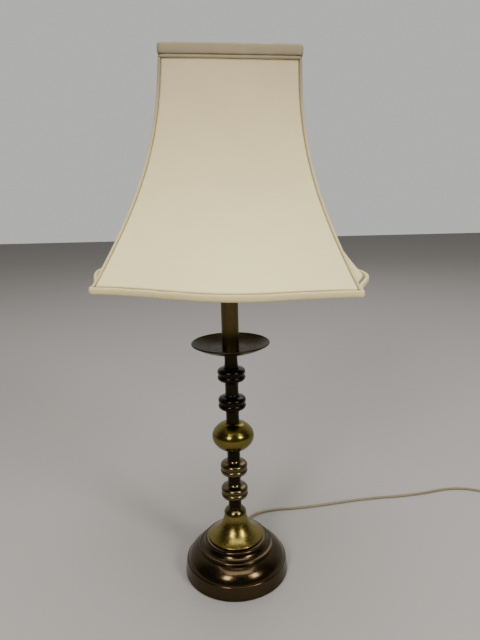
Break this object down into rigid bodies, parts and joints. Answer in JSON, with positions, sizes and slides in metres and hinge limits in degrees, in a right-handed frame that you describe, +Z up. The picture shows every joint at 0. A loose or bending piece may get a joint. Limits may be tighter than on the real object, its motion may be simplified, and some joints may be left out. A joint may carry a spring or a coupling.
{
  "type": "table lamp with shade",
  "caption": "Candlestick table lamp with a turned brass stem, drip pan, round stepped foot and a square bell shade of cream cloth on a harp.",
  "frame": {"origin": "middle of the foot's underside, on the surface that the lamp stands on", "axes": "+Z up along the stem; -Y is the front; the cord leaves at the back and runs to +X"},
  "size_m": [0.6888, 0.4181, 0.6823],
  "materials": {
    "dark_bronze": "dark antique bronze lacquer over brass",
    "antique_brass": "antique brass, satin, darker in the grooves",
    "polished_brass": "plain brass, lacquered",
    "zinc_steel": "zinc plated steel",
    "bulb_metal": "rolled aluminium screw base",
    "cast_weight": "rough casting",
    "felt": "pressed wool felt",
    "shade_fabric": "fine plain-weave cream cloth, lined",
    "shade_trim": "folded bias tape of the same cloth",
    "bulb_glass": "inside-frosted glass",
    "insulation": "fibre paper",
    "phenolic": "moulded phenolic",
    "cord_jacket": "translucent gold vinyl over copper strands",
    "plug_plastic": "moulded vinyl"
  },
  "bodies": {
    "lamp": {"base_felt": "felt", "base_shell": "dark_bronze", "base_weight": "cast_weight", "lock_washer": "zinc_steel", "lock_nut": "zinc_steel", "strain_relief": "cord_jacket", "base_cone": "antique_brass", "collar": "antique_brass", "knop_one": "dark_bronze", "knop_two": "dark_bronze", "knop_three": "antique_brass", "knop_four": "antique_brass", "neck_one": "dark_bronze", "neck_two": "dark_bronze", "neck_three": "dark_bronze", "neck_four": "antique_brass", "neck_five": "antique_brass", "neck_six": "antique_brass", "ball": "antique_brass", "drip_pan": "dark_bronze", "candle_sleeve": "antique_brass", "threaded_pipe": "zinc_steel", "check_ring": "antique_brass", "top_nipple": "zinc_steel", "harp_saddle": "polished_brass", "socket_cap": "polished_brass", "socket_shell": "polished_brass", "paper_liner": "insulation", "socket_core": "phenolic", "screw_shell": "polished_brass", "inner_cord": "cord_jacket", "cord_tube": "cord_jacket", "cord_coil": "cord_jacket", "plug_body": "plug_plastic", "plug_blades": "polished_brass"},
    "switch": {"switch_shaft": "phenolic", "switch_knob": "phenolic"},
    "bulb": {"bulb_contact": "zinc_steel", "bulb_base": "bulb_metal", "bulb_glass": "bulb_glass"},
    "harp": {"harp_bow": "polished_brass", "harp_stud": "polished_brass"},
    "ferrule_left": {"ferrule_left": "polished_brass"},
    "ferrule_right": {"ferrule_right": "polished_brass"},
    "shade": {"shade_top_ring": "zinc_steel", "shade_bottom_ring": "zinc_steel", "shade_ribs": "zinc_steel", "shade_spider": "zinc_steel", "top_trim": "shade_trim", "top_piping": "shade_trim", "bottom_hem": "shade_trim", "panel_front": "shade_fabric", "panel_right": "shade_fabric", "panel_back": "shade_fabric", "panel_left": "shade_fabric", "seam_front_right": "shade_trim", "seam_back_right": "shade_trim", "seam_back_left": "shade_trim", "seam_front_left": "shade_trim"},
    "finial": {"finial": "antique_brass"}
  },
  "joints": [
    {"name": "switch_turn", "type": "hinge", "parent": "lamp", "child": "switch", "pos_m": [0.00095, -0.03, 0.43048], "axis": [0, -1, 0], "continuous": true},
    {"name": "bulb_unscrew", "type": "hinge", "parent": "lamp", "child": "bulb", "pos_m": [0.0022, 0, 0.46446], "axis": [0.0366, 0, 0.9993], "continuous": true},
    {"name": "harp_lift", "type": "slide", "parent": "lamp", "child": "harp", "axis": [0.0366, 0, 0.9993], "range_m": [0, 0.02]},
    {"name": "ferrule_left_slide", "type": "slide", "parent": "harp", "child": "ferrule_left", "axis": [0.0366, 0, 0.9993], "range_m": [0, 0.012]},
    {"name": "ferrule_right_slide", "type": "slide", "parent": "harp", "child": "ferrule_right", "axis": [0.0366, 0, 0.9993], "range_m": [0, 0.012]},
    {"name": "shade_swivel", "type": "hinge", "parent": "harp", "child": "shade", "pos_m": [0.00916, 0, 0.65433], "axis": [0.0366, 0, 0.9993], "continuous": true},
    {"name": "finial_turn", "type": "hinge", "parent": "harp", "child": "finial", "pos_m": [0.00953, 0, 0.66433], "axis": [0.0366, 0, 0.9993], "continuous": true}
  ]
}
